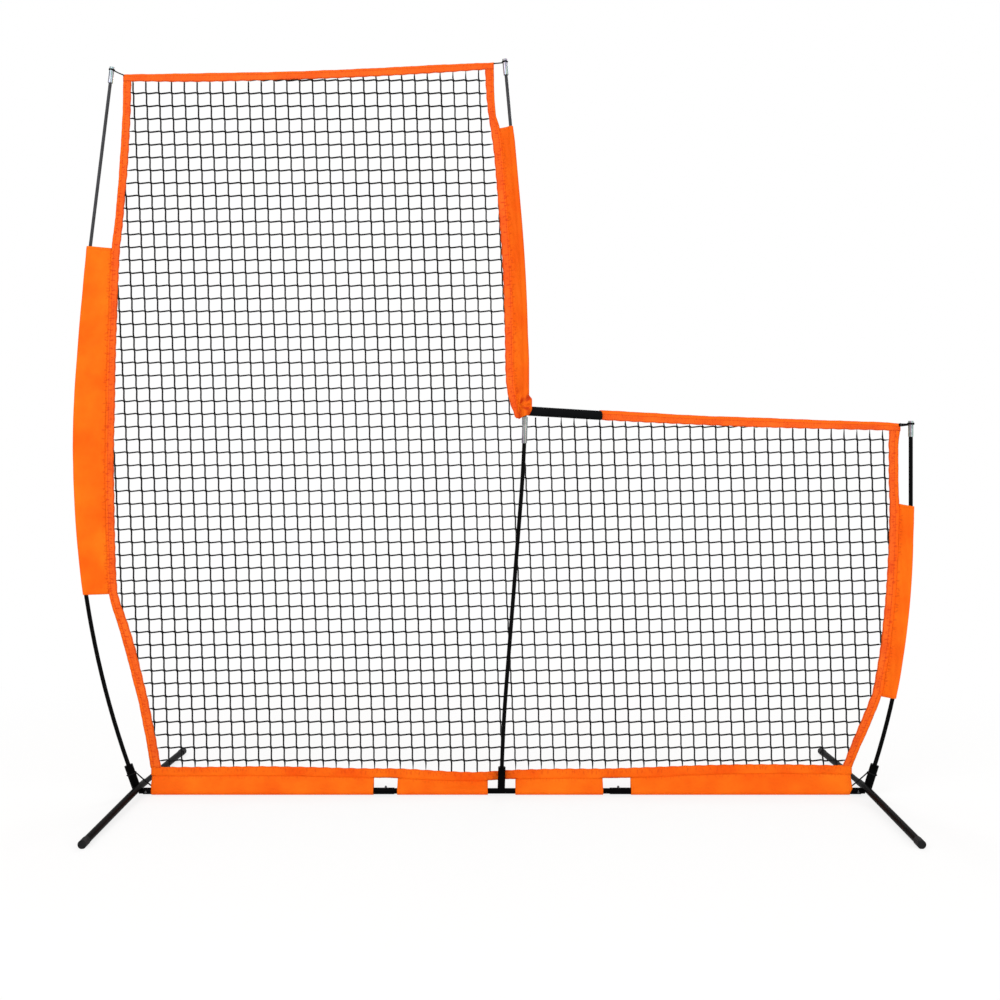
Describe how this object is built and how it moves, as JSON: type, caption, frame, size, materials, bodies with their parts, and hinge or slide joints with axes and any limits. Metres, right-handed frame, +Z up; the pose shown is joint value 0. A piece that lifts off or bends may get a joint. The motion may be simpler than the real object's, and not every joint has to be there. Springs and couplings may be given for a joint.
{
  "type": "pitching target net",
  "caption": "Free-standing L-shaped pitching and batting net: black knotted net with orange fabric edges on bowed poles and a steel base with cross legs.",
  "frame": {"origin": "on the ground, under the middle of the net's overall width, in the plane of the poles", "axes": "+X along the base towards the low side of the L, +Y to the back, square to the net, +Z up"},
  "size_m": [2.4776, 0.9202, 2.1663],
  "materials": {
    "steel": "black powder coat, semi-gloss",
    "rubber": "black rubber, matt",
    "button": "plated steel",
    "spring": "spring steel",
    "seat": "moulded nylon",
    "pole_black": "black fibreglass rod, glossy",
    "pole_grey": "dark fibreglass rod, glossy",
    "ferrule": "bright turned metal",
    "twine": "black knotted twine",
    "hem": "orange woven polyester binding",
    "sleeve": "orange woven polyester",
    "collar": "black padded sleeve",
    "cord": "black braided cord"
  },
  "bodies": {
    "frame": {"centre_base_tube": "steel", "left_base_tube": "steel", "right_base_tube": "steel", "left_corner_hub": "steel", "right_corner_hub": "steel", "left_joint_spring": "spring", "right_joint_spring": "spring", "left_hub_spring": "spring", "right_hub_spring": "spring", "left_pole_seat": "seat", "centre_pole_seat": "seat", "right_pole_seat": "seat", "left_lower_pole": "pole_black", "centre_lower_pole": "pole_black", "right_pole": "pole_black", "left_upper_pole": "pole_grey", "centre_upper_pole": "pole_grey", "left_ferrule": "ferrule", "centre_ferrule": "ferrule", "left_tip_cap": "ferrule", "centre_tip_cap": "ferrule", "right_tip_cap": "ferrule", "tall_net": "twine", "low_net": "twine", "top_hem": "hem", "left_hem": "hem", "centre_hem": "hem", "low_top_hem": "hem", "right_hem": "hem", "bottom_hem": "hem", "left_sleeve": "sleeve", "centre_sleeve": "sleeve", "right_sleeve": "sleeve", "base_sleeve_1": "sleeve", "base_sleeve_2": "sleeve", "base_sleeve_3": "sleeve", "base_sleeve_4": "sleeve", "collar": "collar", "left_tie_cord": "cord", "centre_tie_cord": "cord", "right_tie_cord": "cord", "left_elastic": "cord", "right_elastic": "cord"},
    "left_front_leg_body": {"left_front_leg": "steel", "left_front_cap": "rubber"},
    "left_rear_leg_body": {"left_rear_leg": "steel", "left_rear_cap": "rubber"},
    "right_front_leg_body": {"right_front_leg": "steel", "right_front_cap": "rubber"},
    "right_rear_leg_body": {"right_rear_leg": "steel", "right_rear_cap": "rubber"},
    "left_joint_button_body": {"left_joint_button": "button"},
    "right_joint_button_body": {"right_joint_button": "button"},
    "left_hub_button_body": {"left_hub_button": "button"},
    "right_hub_button_body": {"right_hub_button": "button"}
  },
  "joints": [
    {"name": "left_front_leg_slide", "type": "slide", "parent": "frame", "child": "left_front_leg_body", "axis": [0, -0.9995, -0.0308], "range_m": [0, 0.1]},
    {"name": "left_rear_leg_slide", "type": "slide", "parent": "frame", "child": "left_rear_leg_body", "axis": [0, 0.9995, -0.0308], "range_m": [-0.105, 0.1]},
    {"name": "right_front_leg_slide", "type": "slide", "parent": "frame", "child": "right_front_leg_body", "axis": [0, -0.9995, -0.0308], "range_m": [0, 0.1]},
    {"name": "right_rear_leg_slide", "type": "slide", "parent": "frame", "child": "right_rear_leg_body", "axis": [0, 0.9995, -0.0308], "range_m": [-0.105, 0.1]},
    {"name": "left_joint_button_press", "type": "slide", "parent": "frame", "child": "left_joint_button_body", "axis": [0, 0, -1], "range_m": [0, 0.006], "stiffness_N_per_m": 2000, "deforming": ["left_joint_spring"]},
    {"name": "left_hub_button_press", "type": "slide", "parent": "frame", "child": "left_hub_button_body", "axis": [0, 1, 0], "range_m": [0, 0.006], "stiffness_N_per_m": 2000, "deforming": ["left_hub_spring"]},
    {"name": "right_joint_button_press", "type": "slide", "parent": "frame", "child": "right_joint_button_body", "axis": [0, 0, -1], "range_m": [0, 0.006], "stiffness_N_per_m": 2000, "deforming": ["right_joint_spring"]},
    {"name": "right_hub_button_press", "type": "slide", "parent": "frame", "child": "right_hub_button_body", "axis": [0, 1, 0], "range_m": [0, 0.006], "stiffness_N_per_m": 2000, "deforming": ["right_hub_spring"]}
  ]
}
